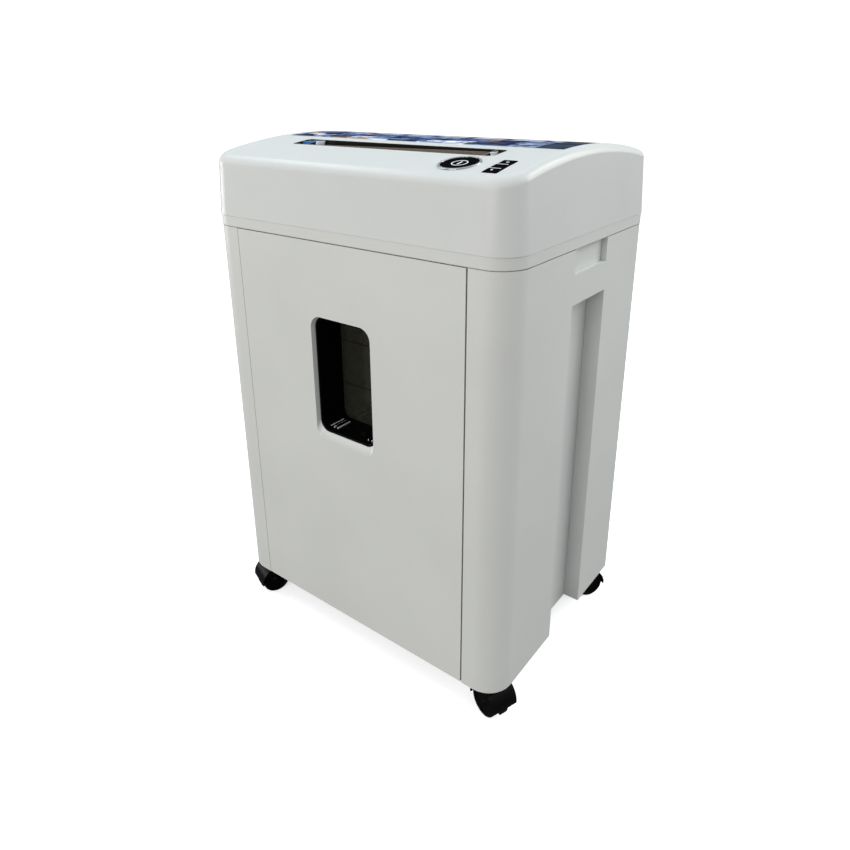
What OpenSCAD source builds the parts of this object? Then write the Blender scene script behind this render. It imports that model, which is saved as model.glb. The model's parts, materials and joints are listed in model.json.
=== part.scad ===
// Office paper shredder with a pull-out waste bin on four swivel casters.
// Millimetres, +Z up. The origin is on the floor, under the centre of the cabinet. The front faces -Y.

/* [Cabinet] */
// Width of the cabinet, left to right
body_w = 395; // [385:1:410]
// Depth of the cabinet, front to back
body_d = 284; // [280:1:300]
// Height of the cabinet's bottom edge above the floor
floor_gap = 41; // [41:1:50]
// Height of the cabinet, from its bottom edge to the head
cabinet_h = 460; // [430:5:500]
// Radius of the two front corners
corner_r = 30; // [24:1:36]
// Thickness of the side walls
wall = 3; // [2:0.5:4]

/* [Head] */
// Height of the head's lower band
band_h = 12; // [10:1:16]
// Height of the crown's highest line above the cabinet
crown_h = 93.5; // [90:0.5:110]
// Radius of the crown, seen from the side
crown_r = 627; // [500:1:900]
// How far behind the middle the crown is highest
crown_y = 10; // [0:1:20]
// Rounding of the head's top edge
edge_r = 9; // [5:1:12]
// Thickness of the head cover
cover_t = 2.6; // [2:0.2:3.2]

/* [Feed slot] */
// Length of the recess around the feed slot
mouth_l = 262; // [250:1:270]
// Width of the recess around the feed slot
mouth_w = 28; // [24:1:32]
// Distance of the feed slot in front of the middle
feed_y = 64; // [60:1:70]

/* [Controls] */
// Outer diameter of the ring round the power button
ring_d = 40; // [36:1:44]
// Travel of the power button
button_travel = 1.5; // [1:0.1:1.8]

/* [Waste bin] */
// Width of the opening between the front posts
opening_w = 307; // [300:1:310]
// Width of the window in the bin front
window_w = 81.5; // [70:0.5:90]
// Height of the window in the bin front
window_h = 135; // [110:1:150]
// Depth of the window's tunnel
window_depth = 41; // [38:1:41]
// Height of the sloping sill below the window
sill_h = 9; // [6:0.5:10]

/* [Cutters] */
// Number of discs on each cutter shaft
discs = 29; // [20:1:29]
// Radius of a cutting disc
disc_r = 20; // [19:0.5:20]
// Distance between the cutter shafts
cutter_gap = 35; // [34:0.5:35]

/* [Casters] */
// Radius of a caster wheel
wheel_r = 18; // [16:0.5:18]
// Trail, from the kingpin to the wheel axle
trail = 14; // [12:0.5:15]

/* [Hidden] */
$fn = 64;
eps = 0.01;

// Colours
wall_grey = [0.77, 0.78, 0.77];
head_grey = [0.80, 0.82, 0.83];
black_plastic = [0.08, 0.08, 0.09];
dark_grey = [0.22, 0.22, 0.23];
steel = [0.62, 0.63, 0.65];
brass = [0.72, 0.58, 0.30];
board_green = [0.10, 0.35, 0.20];
white = [0.93, 0.93, 0.93];

// Heights above the floor
z_cab = floor_gap;
z_part = z_cab + cabinet_h;
z_band = z_part + band_h;
z_crown = z_part + crown_h;
tray_t = 3;
z_tray = z_part + tray_t;
shadow_gap = 1;
shadow_depth = 1.6;
z_plate = floor_gap + 9;
base_t = 4;
z_base = z_plate + base_t;

// Plan sizes
half_w = body_w / 2;
half_d = body_d / 2;
rear_r = 8;
overhang = 0.7;
lean = 3.4;
opening_x = opening_w / 2;
jamb_t = 3;
jamb_d = 11;
groove_y = 13.5;
groove_w = 75;
groove_depth = 19;
groove_top = z_cab + 404;
grip_w = 72;
grip_h = 25;
grip_depth = 6;
rear_x = half_w - 12;

// Bin
bin_x = 148;
bin_front_y = -half_d + window_depth + wall;
bin_back_y = 118;
bin_z = 62.4;
bin_top = z_part - 17;
bin_t = 2.2;
rail_x = 120;
rail_top = 60;
window_z = z_cab + 310.5;
window_r = 13;
window_x = -4;
sill_depth = 5;
frame_w = 11;
bevel_top = 1.6;
bevel_side = 1;
front_left = opening_x - 0.5;
front_right = opening_x - 1.7;
boss_x = 130;
boss_z = [z_cab + 60, z_cab + 420];

// Cutting mechanism
cut_z = z_part + 33;
disc_pitch = 8;
disc_t = 3.8;
spacer_r = 12;
journal_r = 5;
run_fit = 0.05;
cut_l = discs * disc_pitch;
cut_x = -106;
front_y = -feed_y - cutter_gap / 2;
rear_y = -feed_y + cutter_gap / 2;
plate_t = 3;
left_plate_x = cut_x - 6 - plate_t;
right_plate_x = cut_x + cut_l + 6;
chassis_h = 58;
bearing_r = 8;
neck_w = 6;
neck_x = [cut_x, cut_x + cut_l];
throat_z = cut_z + 19;

// Gear train: tooth numbers, modules and the angle of each line of centres
pressure = 25;
addendum = 0.8;
backlash = 0.1;
sync_n = 14;
sync_m = cutter_gap / sync_n;
cutter_n = 24;
second_small_n = 13;
third_m = 2;
second_large_n = 36;
first_small_n = 14;
second_m = 1.5;
first_large_n = 48;
pinion_n = 12;
first_m = 1.25;
third_angle = 12;
second_angle = -5;
first_angle = 15;
function mate(from, na, nb, m, angle) =
    from + (na + nb) * m / 2 * [cos(angle), sin(angle)];
cutter_c = [rear_y, cut_z];
second_c = mate(cutter_c, cutter_n, second_small_n, third_m, third_angle);
first_c = mate(second_c, second_large_n, first_small_n, second_m, second_angle);
motor_c = mate(first_c, first_large_n, pinion_n, first_m, first_angle);
gear_a_x = right_plate_x + plate_t + 6;
gear_b_x = gear_a_x + 12;
gear_c_x = gear_b_x + 11;
gear_cover_x = gear_c_x + 14;
axle_r = 4;
// Standoffs that hold the gear cover off the gear plate, and tie rods between the two plates
standoff_c = [[rear_y - 28, cut_z + 20], [first_c[0] - 2, cut_z + 44],
    [motor_c[0] + 26, cut_z - 20], [second_c[0] + 14, cut_z - 23]];
rod_c = [for (y = [front_y - 24, rear_y + 24], z = [cut_z - 21, cut_z + 22]) [y, z]];
motor_r = 30;
motor_l = 100;
rotor_r = 15;

// Controls on the crown
button_x = 120;
button_y = -107;
button_r = ring_d / 2 - 2.6;
lens_x = 161.8;
lens_y = -107.8;
lens_w = 14.5;
lens_l = 35.5;
board_depth = 13;
stem_gap = 4.9;
symbol_r = 7.8;
label_x = 5;
label_l = 358;
label_w = 78;
label_y = 4;
label_t = 0.35;

// Casters: kingpin places, and the way that each wheel trails at rest
caster_x = 166;
caster_y = 112;
kingpin_r = 3;
wheel_w = 10.5;
web_w = 9;
caster_fr = [caster_x, -caster_y, -20];
caster_fl = [-caster_x, -caster_y, 250];
caster_rr = [caster_x, caster_y, 55];
caster_rl = [-caster_x, caster_y, 160];
casters = [caster_fr, caster_fl, caster_rr, caster_rl];

// ---------- helpers ----------

// Height and slope of the crown at depth y
function crown_z(y) = z_crown - crown_r + sqrt(crown_r * crown_r - (y - crown_y) * (y - crown_y));
function crown_slope(y) = -asin((y - crown_y) / crown_r);

module on_crown(x, y) {
    translate([x, y, crown_z(y)]) rotate([crown_slope(y), 0, 0]) children();
}

// Puts a shape drawn on XY and raised along Z on the X axis, through the point (y, z)
module along_x(x, c) {
    translate([x, c[0], c[1]]) rotate([90, 0, 90]) children();
}

// Puts a shape raised along Z on the Y axis, running back from y
module along_y(x, y, z) {
    translate([x, y, z]) rotate([-90, 0, 0]) children();
}

module rounded_rect(w, d, r) {
    square([w - 2 * r, d], center = true);
    square([w, d - 2 * r], center = true);
    for (sx = [-1, 1], sy = [-1, 1])
        translate([sx * (w / 2 - r), sy * (d / 2 - r)]) circle(r);
}

// A window-shaped prism, wide in X and tall in Z, from y0 back to y1
module window_prism(grow, y0, y1) {
    translate([window_x, y1, window_z]) rotate([90, 0, 0])
        linear_extrude(y1 - y0)
            rounded_rect(window_w + 2 * grow, window_h + 2 * grow, window_r + grow);
}

// Plan of the cabinet, shrunk by inset: large radius in front, small behind
module cabinet_plan(inset) {
    w = half_w - inset;
    d = half_d - inset;
    rf = corner_r - inset;
    rb = max(rear_r - inset, 1);
    translate([-w + rf, -d]) square([2 * (w - rf), 2 * d - rb]);
    translate([-w, -d + rf]) square([2 * w, 2 * d - rf - rb]);
    translate([-w + rb, 0]) square([2 * (w - rb), d]);
    for (s = [-1, 1]) {
        translate([s * (w - rf), -d + rf]) circle(rf);
        translate([s * (w - rb), d - rb]) circle(rb);
    }
}

module box(x, y, z) {
    translate([x[0], y[0], z[0]]) cube([x[1] - x[0], y[1] - y[0], z[1] - z[0]]);
}

module box_both_sides(x, y, z) {
    box(x, y, z);
    mirror([1, 0, 0]) box(x, y, z);
}

module ring(r_out, r_in, h) {
    difference() {
        cylinder(r = r_out, h = h);
        translate([0, 0, -1]) cylinder(r = r_in, h = h + 2);
    }
}

// A pan-head screw along +Z: the head ends at z = 0 and the shank runs up
module screw(r, l, head_r, head_h) {
    difference() {
        union() {
            translate([0, 0, -head_h]) cylinder(r = head_r, h = head_h);
            cylinder(r = r, h = l);
        }
        for (a = [0, 90])
            rotate([0, 0, a]) translate([-head_r * 0.6, -0.4, -head_h - 1])
                cube([head_r * 1.2, 0.8, 1 + head_h * 0.6]);
    }
}

// Involute spur gear outline with stub teeth, one tooth centred on angle `phase`
function inv(a) = tan(a) * 180 / PI - a;
function tooth_half(n, m, r) =
    let (rp = n * m / 2, rb = rp * cos(pressure))
    90 / n - backlash / rp * 90 / PI + inv(pressure) - (r > rb ? inv(acos(rb / r)) : 0);
function gear_points(n, m, phase) =
    let (rp = n * m / 2, ra = rp + addendum * m, rf = rp - (addendum + 0.25) * m,
        rb = rp * cos(pressure), r0 = max(rb, rf),
        flank = [rf, each [for (k = [0:4]) r0 + (ra - r0) * k / 4]])
    [for (i = [0:n - 1]) each concat(
        [for (r = flank) let (a = phase + i * 360 / n - tooth_half(n, m, r)) r * [cos(a), sin(a)]],
        [for (k = [len(flank) - 1:-1:0])
            let (r = flank[k], a = phase + i * 360 / n + tooth_half(n, m, r)) r * [cos(a), sin(a)]])];

module gear(n, m, t, phase, bore_r) {
    linear_extrude(t) difference() {
        polygon(gear_points(n, m, phase));
        circle(bore_r);
    }
}

// ---------- head ----------

// Points of the head's rounded outline, shrunk by inset, with extra stations along the sides
function head_outline(inset) =
    let (w = half_w + overhang - inset, d = half_d + overhang - inset,
        rf = max(corner_r - inset, 2), rb = max(rear_r - inset, 2), arc = 8, side = 10)
    concat(
        [for (k = [0:arc]) let (a = -90 + 90 * k / arc) [w - rf + rf * cos(a), -d + rf + rf * sin(a)]],
        [for (k = [1:side - 1]) [w, -d + rf + (2 * d - rf - rb) * k / side]],
        [for (k = [0:arc]) let (a = 90 * k / arc) [w - rb + rb * cos(a), d - rb + rb * sin(a)]]);

// Corner points of the head: its foot, then rings round the rounded top edge, shrunk by t
function head_points(t, steps = 5) =
    let (top_r = max(edge_r - t, 1))
    concat(
        [for (p = head_outline(t)) [p[0], p[1], z_band]],
        [for (k = [0:steps], p = head_outline(lean + t + top_r * (1 - cos(90 * k / steps))))
            [p[0], p[1], crown_z(p[1]) - t - top_r * (1 - sin(90 * k / steps))]]);

// Convex body of the head: foot, leaning walls, rounded top edge and crown, shrunk by t
module head_solid(t) {
    right = head_points(t);
    points = [for (s = [1, -1], p = right) [s * p[0], p[1], p[2]]];
    hull() polyhedron(points, [for (i = [0:len(points) - 3]) [i, i + 1, i + 2]]);
}

module head_screw_places() {
    for (sx = [-1, 1], sy = [-1, 1]) translate([sx * (half_w - 19.5), sy * (half_d - 24), 0]) children();
}

module inlet_place() {
    translate([-145, half_d + overhang - 1.2, z_part + 44]) children();
}

module head_cover() {
    color(head_grey) difference() {
        union() {
            difference() {
                head_solid(0);
                head_solid(cover_t);
                box([-half_w, half_w], [-half_d, half_d], [z_part, z_band + 0.2]);
            }
            intersection() {
                head_solid(0.5);
                head_screw_places() translate([0, 0, z_tray + 0.5]) cylinder(r = 5, h = crown_h);
            }
            // Thicker wall behind the mains inlet
            intersection() {
                head_solid(0.5);
                inlet_place() box([-20, 20], [-8, 0], [-16, 16]);
            }
        }
        head_screw_places() translate([0, 0, z_part]) cylinder(r = 1.9, h = 30);
        // Feed slot
        translate([label_x, -feed_y, z_band]) linear_extrude(crown_h)
            rounded_rect(mouth_l + 0.6, mouth_w + 0.6, 6);
        // Holes for the button, the indicator strip and the inlet
        on_crown(button_x, button_y) translate([0, 0, -20]) cylinder(r = ring_d / 2 - 1.4, h = 40);
        on_crown(lens_x, lens_y) box([-lens_w / 2 - 0.2, lens_w / 2 + 0.2],
            [-lens_l / 2 - 0.2, lens_l / 2 + 0.2], [-20, 20]);
        inlet_place() box([-14, 14], [-20, 20], [-10.2, 10.2]);
        inlet_place() box([-17.2, 17.2], [0, 20], [-13.2, 13.2]);
        // Shallow pocket for the label
        difference() {
            box([label_x - label_l / 2 - 0.2, label_x + label_l / 2 + 0.2],
                [label_y - label_w / 2 - 0.2, label_y + label_w / 2 + 0.2], [z_crown - 12, z_crown + 5]);
            label_body(label_l + 10, label_w + 10, 30, -0.5);
        }
        // Air slots in the back wall
        for (k = [0:11]) translate([20 + k * 10, half_d, z_part + 30]) box([0, 4], [-15, 5], [0, 28]);
    }
}

// A slice of the crown: t thick, with its top lifted by up
module label_body(l, w, t, up) {
    intersection() {
        box([label_x - l / 2, label_x + l / 2], [label_y - w / 2, label_y + w / 2],
            [z_crown - 40, z_crown + 5]);
        along_x(label_x - l / 2 - 1, [crown_y, z_crown - crown_r]) difference() {
            cylinder(r = crown_r + up, h = l + 2, $fn = 256);
            translate([0, 0, -1]) cylinder(r = crown_r + up - t, h = l + 4, $fn = 256);
        }
    }
}

module top_label() {
    color([0.30, 0.42, 0.62]) label_body(label_l, label_w, label_t, -0.1);
}

module tray_ring(inset, t, z0, z1) {
    translate([0, 0, z0]) linear_extrude(z1 - z0) difference() {
        cabinet_plan(inset);
        cabinet_plan(inset + t);
    }
}

module head_tray() {
    color(wall_grey) difference() {
        union() {
            translate([0, 0, z_part]) linear_extrude(tray_t) cabinet_plan(-overhang / 2);
            tray_ring(-overhang / 2, wall, z_part, z_band);
            tray_ring(wall + 0.4, 2, z_part, z_band + 6);
            // Lip that drops into the cabinet
            difference() {
                tray_ring(wall + 0.4, 2, z_part - 8, z_part + eps);
                box([-half_w, half_w], [-half_d, -half_d + 18], [z_part - 10, z_part]);
                box_both_sides([half_w - 14, half_w], [groove_y - 42, groove_y + 42], [z_part - 10, z_part]);
                box_both_sides([rear_x - 14, half_w], [half_d - 14, half_d], [z_part - 10, z_part]);
            }
        }
        // Shadow gap between the head and the cabinet
        tray_ring(-overhang / 2 - 1, 1 + shadow_depth, z_part - 1, z_part + shadow_gap);
        // Drop opening below the cutters
        box([cut_x - 2, cut_x + cut_l + 2], [front_y - 21, rear_y + 21], [z_part - 1, z_tray + 1]);
        head_screw_places() translate([0, 0, z_part - 1]) cylinder(r = 2.1, h = 10);
        // Cable hole towards the bin sensor
        translate([-60, 100, z_part - 1]) cylinder(r = 6, h = 10);
    }
}

module shred_chute() {
    color(black_plastic) difference() {
        box([cut_x - 2.2, cut_x + cut_l + 2.2], [front_y - 21.2, rear_y + 21.2], [z_part - 12, z_part - 0.1]);
        box([cut_x, cut_x + cut_l], [front_y - 19, rear_y + 19], [z_part - 13, z_part + 1]);
    }
}

// ---------- feed throat and controls ----------

module feed_throat() {
    mouth_x = [label_x - mouth_l / 2, label_x + mouth_l / 2];
    y0 = -feed_y;
    lip_front = crown_z(y0 - mouth_w / 2) - 0.3;
    lip_rear = crown_z(y0 + mouth_w / 2) - 0.3;
    z_neck = lip_front - 16;
    color(dark_grey) difference() {
        union() {
            // Basin under the opening in the cover
            along_x(mouth_x[0], [0, 0]) linear_extrude(mouth_l) polygon([
                [y0 - mouth_w / 2, lip_front], [y0 + mouth_w / 2, lip_rear],
                [y0 + mouth_w / 2, z_neck + 5], [y0 + neck_w / 2 + 2, z_neck - 3],
                [y0 - neck_w / 2 - 2, z_neck - 3], [y0 - mouth_w / 2, z_neck + 5]]);
            box([neck_x[0] - 1.5, neck_x[1] + 1.5], [y0 - neck_w / 2 - 1.5, y0 + neck_w / 2 + 1.5],
                [throat_z, z_neck]);
        }
        along_x(neck_x[0] + 3, [0, 0]) linear_extrude(neck_x[1] - neck_x[0] - 6) polygon([
            [y0 - mouth_w / 2 + 1.5, lip_front + 5], [y0 + mouth_w / 2 - 1.5, lip_rear + 5],
            [y0 + mouth_w / 2 - 1.5, z_neck + 8], [y0 + neck_w / 2, z_neck],
            [y0 - neck_w / 2, z_neck], [y0 - mouth_w / 2 + 1.5, z_neck + 8]]);
        box(neck_x, [y0 - neck_w / 2, y0 + neck_w / 2], [throat_z - 1, z_neck + 0.5]);
        // Shallow pockets past the two end ribs
        box([mouth_x[0] + 1.5, neck_x[0] + 0.5], [y0 - mouth_w / 2 + 1.5, y0 + mouth_w / 2 - 1.5],
            [z_neck + 8, z_crown]);
        box([neck_x[1] - 0.5, mouth_x[1] - 1.5], [y0 - mouth_w / 2 + 1.5, y0 + mouth_w / 2 - 1.5],
            [z_neck + 8, z_crown]);
        // The basin's corners follow the opening
        difference() {
            box([mouth_x[0] - 1, mouth_x[1] + 1], [y0 - mouth_w, y0 + mouth_w], [throat_z - 2, z_crown]);
            translate([label_x, y0, throat_z - 3]) linear_extrude(z_crown - throat_z + 5)
                rounded_rect(mouth_l, mouth_w, 5.7);
        }
    }
}

module paper_sensor() {
    color(black_plastic) box([-2, 16], [-feed_y + neck_w / 2 + 1.7, -feed_y + neck_w / 2 + 8],
        [throat_z + 1, throat_z + 11]);
}

module button_ring() {
    color(steel) on_crown(button_x, button_y) union() {
        translate([0, 0, 0.05]) difference() {
            cylinder(r1 = ring_d / 2, r2 = ring_d / 2 - 0.9, h = 0.9);
            translate([0, 0, -1]) cylinder(r = button_r + 0.3, h = 4);
        }
        translate([0, 0, -7]) ring(ring_d / 2 - 1.6, button_r + 0.3, 7.1);
    }
}

module power_button() {
    color(black_plastic) on_crown(button_x, button_y) union() {
        translate([0, 0, -5]) cylinder(r = button_r, h = 5.4);
        translate([0, 0, stem_gap - board_depth]) cylinder(r = 4, h = board_depth - 2 * stem_gap);
    }
}

module button_symbol() {
    color(white) on_crown(button_x, button_y) translate([0, 0, 0.42]) {
        ring(symbol_r, symbol_r - 1.1, 0.12);
        translate([-0.7, -4, 0]) cube([1.4, 8, 0.12]);
    }
}

module indicator_lens() {
    seg = (lens_l - 2) / 3;
    color(black_plastic) on_crown(lens_x, lens_y) difference() {
        union() {
            box([-lens_w / 2, lens_w / 2], [-lens_l / 2, lens_l / 2], [-4, 0.3]);
            box([-lens_w / 2 - 1.5, lens_w / 2 + 1.5], [-lens_l / 2 - 1.5, lens_l / 2 + 1.5],
                [-5, -cover_t - 0.9]);
        }
        // Two fine grooves part the strip into three fields
        for (k = [1, 2]) translate([0, -lens_l / 2 + k * (seg + 0.7), 0])
            box([-lens_w, lens_w], [-0.35, 0.35], [-0.5, 1]);
    }
}

module display_board() {
    color(board_green) on_crown(button_x, button_y) {
        difference() {
            box([-26, 51], [-20, 20], [-board_depth - 1.6, -board_depth]);
            for (x = [-22, 47], y = [-16, 16]) translate([x, y, -board_depth - 3]) cylinder(r = 1.6, h = 5);
        }
        // Push switch under the button, with room for its travel
        box([-4, 4], [-4, 4], [-board_depth + 0.02, stem_gap - board_depth - button_travel - 0.2]);
    }
}

module status_leds() {
    color(white) on_crown(lens_x, lens_y) for (k = [-1:1])
        translate([0, k * 11.5, -board_depth + 0.05]) cylinder(r = 1.5, h = 6);
}

module control_board() {
    z0 = z_tray + 8;
    color(board_green) {
        box([-186, -131], [-30, 92], [z0, z0 + 1.6]);
        for (x = [-180, -137], y = [-24, 86]) translate([x, y, z_tray]) cylinder(r = 3, h = 8);
        // Transformer, two relays, terminal block and a row of small capacitors
        box([-180, -146], [40, 80], [z0 + 1.6, z0 + 30]);
        for (y = [0, 18]) box([-180, -160], [y, y + 14], [z0 + 1.6, z0 + 17]);
        box([-144, -132], [-20, 30], [z0 + 1.6, z0 + 12]);
        for (y = [44:12:68]) translate([-139, y, z0 + 1.6]) cylinder(r = 4.5, h = 14);
    }
}

module mains_inlet() {
    color(black_plastic) inlet_place() difference() {
        union() {
            box([-13.7, 13.7], [-18, 0.05], [-9.9, 9.9]);
            box([-17, 17], [0.05, 1.15], [-13, 13]);
        }
        // Socket with three flat pins left standing
        box([-11.5, 11.5], [-15, 5], [-7.5, 7.5]);
    }
    color(steel) inlet_place() {
        for (x = [-7, 7]) box([x - 1, x + 1], [-15.5, -3], [-4, 0]);
        box([-1, 1], [-15.5, -2], [0.5, 4.5]);
    }
}

module bin_sensor() {
    color(black_plastic) box([-12, 12], [112, 124], [z_part - 11, z_part - 0.05]);
}

module bin_magnet() {
    color(steel) translate([0, bin_back_y - 10, bin_top - 10]) rotate([-90, 0, 0]) cylinder(r = 5, h = 7.7);
}

module run_capacitor() {
    color(dark_grey) {
        along_x(-95, [62, z_tray + 20]) cylinder(r = 17, h = 62);
        along_x(-33, [62, z_tray + 20]) cylinder(r = 5, h = 6);
        box([-80, -48], [46, 78], [z_tray, z_tray + 8]);
    }
}

// ---------- motor and gears ----------

module motor_can() {
    x0 = right_plate_x - motor_l;
    color(steel) difference() {
        union() {
            along_x(x0, motor_c) cylinder(r = motor_r - 4, h = motor_l);
            along_x(x0 + 8, motor_c) cylinder(r = motor_r, h = motor_l - 16);
        }
        along_x(x0 + 12, motor_c) cylinder(r = rotor_r + 0.6, h = motor_l - 24);
        along_x(x0 - 1, motor_c) cylinder(r = axle_r + run_fit, h = motor_l + 2);
        // Cooling slots in the can
        for (a = [0:45:315]) along_x(x0 + 3, motor_c) rotate([0, 0, a])
            translate([17, -2, -4]) cube([6, 4, 9]);
    }
}

module motor_rotor() {
    x0 = right_plate_x - motor_l;
    color(steel) {
        along_x(x0 + 16, motor_c) cylinder(r = rotor_r, h = motor_l - 32);
        along_x(x0 - 20, motor_c) cylinder(r = axle_r, h = gear_c_x + 9 - x0 + 20);
    }
}

module motor_fan() {
    x0 = right_plate_x - motor_l - 18;
    color(dark_grey) along_x(x0, motor_c) {
        ring(8, axle_r + 0.02, 12);
        for (a = [0:45:315]) rotate([0, 0, a]) translate([7, -0.8, 1]) cube([19, 1.6, 10]);
    }
}

module motor_bracket() {
    x0 = right_plate_x - motor_l + 14;
    color(dark_grey) difference() {
        box([x0, x0 + 22], [motor_c[0] - 26, motor_c[0] + 26], [z_tray, motor_c[1] - 8]);
        along_x(x0 - 1, motor_c) cylinder(r = motor_r + 0.1, h = 24);
        box([x0 - 1, x0 + 23], [motor_c[0] - 12, motor_c[0] + 12], [z_tray - 1, z_tray + 5]);
    }
}

module motor_pinion() {
    color(steel) along_x(gear_c_x - 0.5, motor_c)
        gear(pinion_n, first_m, 8, first_angle + 180 + 180 / pinion_n, axle_r + 0.02);
}

module idler_gear_first() {
    color(white) {
        along_x(right_plate_x + plate_t + 1, first_c)
            ring(7, axle_r + run_fit, gear_c_x - right_plate_x - plate_t);
        along_x(gear_b_x + 0.5, first_c)
            gear(first_small_n, second_m, 8, second_angle + 180 + 180 / first_small_n, axle_r + run_fit);
        along_x(gear_c_x, first_c) gear(first_large_n, first_m, 7, first_angle, axle_r + run_fit);
        along_x(gear_c_x + 6, first_c) ring(8, axle_r + run_fit, 6);
    }
}

module idler_gear_second() {
    color(steel) {
        along_x(right_plate_x + plate_t + 1, second_c) ring(6, axle_r + run_fit, 6);
        along_x(gear_a_x + 0.5, second_c)
            gear(second_small_n, third_m, 10.6, third_angle + 180 + 180 / second_small_n, axle_r + run_fit);
        along_x(gear_b_x, second_c) gear(second_large_n, second_m, 8, second_angle, axle_r + run_fit);
        along_x(gear_b_x + 7, second_c) ring(6, axle_r + run_fit, gear_cover_x - gear_b_x - 8);
    }
}

module cutter_gear() {
    color(steel) along_x(gear_a_x, cutter_c) {
        gear(cutter_n, third_m, 10, third_angle, journal_r + 0.02);
    }
}

module sync_gear(y, phase) {
    color(steel) along_x(left_plate_x - 14, [y, cut_z]) gear(sync_n, sync_m, 10, phase, journal_r + 0.02);
}

module sync_gear_rear() { sync_gear(rear_y, 180); }

module sync_gear_front() { sync_gear(front_y, 180 / sync_n); }

module idler_axles() {
    color(steel) for (c = [first_c, second_c])
        along_x(right_plate_x, c) cylinder(r = axle_r, h = gear_cover_x + 2 - right_plate_x);
}

module gear_standoffs() {
    color(steel) for (c = standoff_c) along_x(right_plate_x + plate_t, c)
        cylinder(r = 3, h = gear_cover_x - right_plate_x - plate_t);
}

module gear_outline() {
    polygon([[front_y + 4, z_tray + 2], [motor_c[0] + 32, z_tray + 2], [motor_c[0] + 32, z_tray + 50],
        [motor_c[0] + 10, z_tray + 78], [second_c[0] - 8, z_tray + 78], [rear_y + 4, z_tray + 56],
        [front_y + 4, z_tray + 56]]);
}

module gear_cover() {
    color(steel) difference() {
        along_x(gear_cover_x, [0, 0]) linear_extrude(2) gear_outline();
        for (c = [first_c, second_c]) along_x(gear_cover_x - 1, c) cylinder(r = axle_r + 0.02, h = 4);
        along_x(gear_cover_x - 1, motor_c) cylinder(r = 12, h = 4);
    }
}

module cutter_plate_holes(x) {
    for (y = [front_y, rear_y]) along_x(x - 1, [y, cut_z]) cylinder(r = bearing_r, h = plate_t + 2);
    for (c = rod_c) along_x(x - 1, c) cylinder(r = 3.02, h = plate_t + 2);
}

module plate_foot(x) {
    box([x, x + 14], [front_y - 24, rear_y + 24], [z_tray, z_tray + 2.5]);
}

module chassis_plate() {
    x = left_plate_x;
    color(steel) difference() {
        union() {
            box([x, x + plate_t], [front_y - 28, rear_y + 28], [z_tray, z_tray + chassis_h]);
            plate_foot(x - 11);
        }
        cutter_plate_holes(x);
        for (y = [front_y - 12, rear_y + 12]) translate([x - 6, y, z_tray - 1]) cylinder(r = 2.1, h = 6);
    }
}

module gear_plate() {
    x = right_plate_x;
    color(steel) difference() {
        union() {
            box([x, x + plate_t], [front_y - 28, rear_y + 28], [z_tray, z_tray + chassis_h]);
            along_x(x, [0, 0]) linear_extrude(plate_t) gear_outline();
            box([x - 11, x + plate_t], [second_c[0] + 6, motor_c[0] + 30], [z_tray, z_tray + 2.5]);
        }
        cutter_plate_holes(x);
        for (c = [first_c, second_c]) along_x(x - 1, c) cylinder(r = axle_r + 0.02, h = plate_t + 2);
        along_x(x - 1, motor_c) cylinder(r = 12, h = plate_t + 2);
        for (y = [8, 84]) translate([x - 6, y, z_tray - 1]) cylinder(r = 2.1, h = 6);
    }
}

module tie_rods() {
    color(steel) for (c = rod_c) {
        along_x(left_plate_x - 3, c) cylinder(r = 3, h = right_plate_x - left_plate_x + plate_t + 6);
        for (x = [left_plate_x - 2.6, right_plate_x + plate_t + 0.05])
            along_x(x, c) cylinder(r = 5.5, h = 2.5, $fn = 6);
    }
}

module cutter_bearings() {
    color(brass) for (y = [front_y, rear_y]) {
        along_x(left_plate_x - 2, [y, cut_z]) union() {
            ring(bearing_r - 0.02, journal_r + run_fit, plate_t + 3);
            ring(10, journal_r + run_fit, 1.9);
        }
        along_x(right_plate_x - 1, [y, cut_z]) union() {
            ring(bearing_r - 0.02, journal_r + run_fit, plate_t + 3);
            translate([0, 0, plate_t + 1.1]) ring(10, journal_r + run_fit, 1.9);
        }
    }
}

// A cutter: journals, a drum of spacers, discs from x0 at every second pitch, and three rows of notches
module cutter(y, x0, tail_l, tail_r) {
    color(steel) difference() {
        along_x(0, [y, cut_z]) union() {
            translate([0, 0, cut_x + 0.5]) cylinder(r = spacer_r, h = cut_l - 1);
            translate([0, 0, cut_x - tail_l]) cylinder(r = journal_r, h = cut_l + tail_l + tail_r);
            for (i = [0:discs - 1]) translate([0, 0, x0 + i * disc_pitch]) cylinder(r = disc_r, h = disc_t);
        }
        for (a = [0, 120, 240]) along_x(cut_x, [y, cut_z]) rotate([0, 0, a])
            linear_extrude(cut_l) polygon([[disc_r - 3, 0], [disc_r + 2, -0.5], [disc_r + 2, 6]]);
    }
}

module cutter_rear() { cutter(rear_y, cut_x + 0.1, 28, gear_a_x + 11 - cut_x - cut_l); }

module cutter_front() { cutter(front_y, cut_x + disc_pitch / 2 + 0.1, 28, 10); }

// A comb whose fingers reach between a cutter's discs, on the side away from the other cutter
module stripper(y, side, x0) {
    bar = [y + side * (disc_r + 1), y + side * (disc_r + 3.4)];
    color(dark_grey) difference() {
        union() {
            box([cut_x - 6, cut_x + cut_l + 6], [min(bar), max(bar)], [cut_z - 16, cut_z + 16]);
            for (i = [0:discs - 1]) let (x = x0 + i * disc_pitch + disc_t + 0.4, far = y + side * 3)
                box([x, x + disc_pitch - disc_t - 0.8], [min(far, bar[0]), max(far, bar[0])],
                    [cut_z - 15, cut_z + 15]);
        }
        along_x(cut_x - 10, [y, cut_z]) cylinder(r = spacer_r + 0.5, h = cut_l + 20);
    }
}

module stripper_rear() { stripper(rear_y, 1, cut_x + 0.1); }

module stripper_front() { stripper(front_y, -1, cut_x + disc_pitch / 2 + 0.1 - disc_pitch); }

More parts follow.
